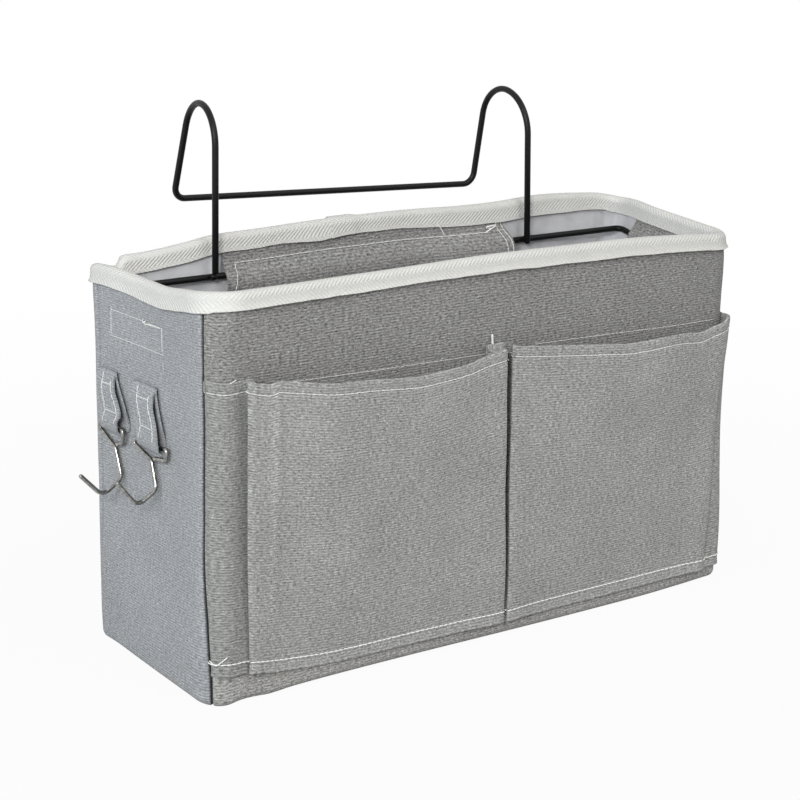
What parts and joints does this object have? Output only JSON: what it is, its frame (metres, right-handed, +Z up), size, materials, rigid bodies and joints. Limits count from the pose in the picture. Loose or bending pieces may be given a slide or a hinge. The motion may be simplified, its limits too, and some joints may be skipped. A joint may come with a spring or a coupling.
{
  "type": "bedside caddy",
  "caption": "Soft rectangular bedside caddy of linen cloth with a taped rim, front pockets, side hooks and a wire hanger that hooks over a bed rail.",
  "frame": {"origin": "centre of the base's underside, where the caddy stands", "axes": "+Z up, -Y out of the front with the pockets, +Y towards the bed, +X to the right of the front"},
  "size_m": [0.3258, 0.1418, 0.2418],
  "materials": {
    "linen": "plain-woven linen-look cloth",
    "foam": "closed-cell foam sheet",
    "board": "grey-brown fibreboard",
    "lining": "smooth film",
    "tape": "herringbone tape",
    "black_coat": "black powder coat on steel wire",
    "nickel": "bright nickel plate"
  },
  "bodies": {
    "caddy": {"front_panel": "linen", "back_panel": "linen", "left_panel": "linen", "right_panel": "linen", "base_panel": "linen", "front_foam": "foam", "back_foam": "foam", "left_foam": "foam", "right_foam": "foam", "base_board": "board", "front_lining": "lining", "back_lining": "lining", "left_lining": "lining", "right_lining": "lining", "base_lining": "lining", "rim_binding": "tape", "left_pocket": "linen", "right_pocket": "linen", "back_sleeve": "linen", "left_sleeve": "linen", "right_sleeve": "linen", "support_bar": "black_coat", "hanger_wire": "black_coat", "rear_hook_tab": "linen", "front_hook_tab": "linen"},
    "rear_hook": {"rear_hook": "nickel"},
    "front_hook": {"front_hook": "nickel"}
  },
  "joints": [
    {"name": "rear_hook_swing", "type": "hinge", "parent": "caddy", "child": "rear_hook", "pos_m": [-0.1524, 0.0285, 0.106], "axis": [0, 1, 0], "range_deg": [0, 120]},
    {"name": "front_hook_swing", "type": "hinge", "parent": "caddy", "child": "front_hook", "pos_m": [-0.1524, -0.0025, 0.106], "axis": [0, 1, 0], "range_deg": [0, 120]}
  ]
}
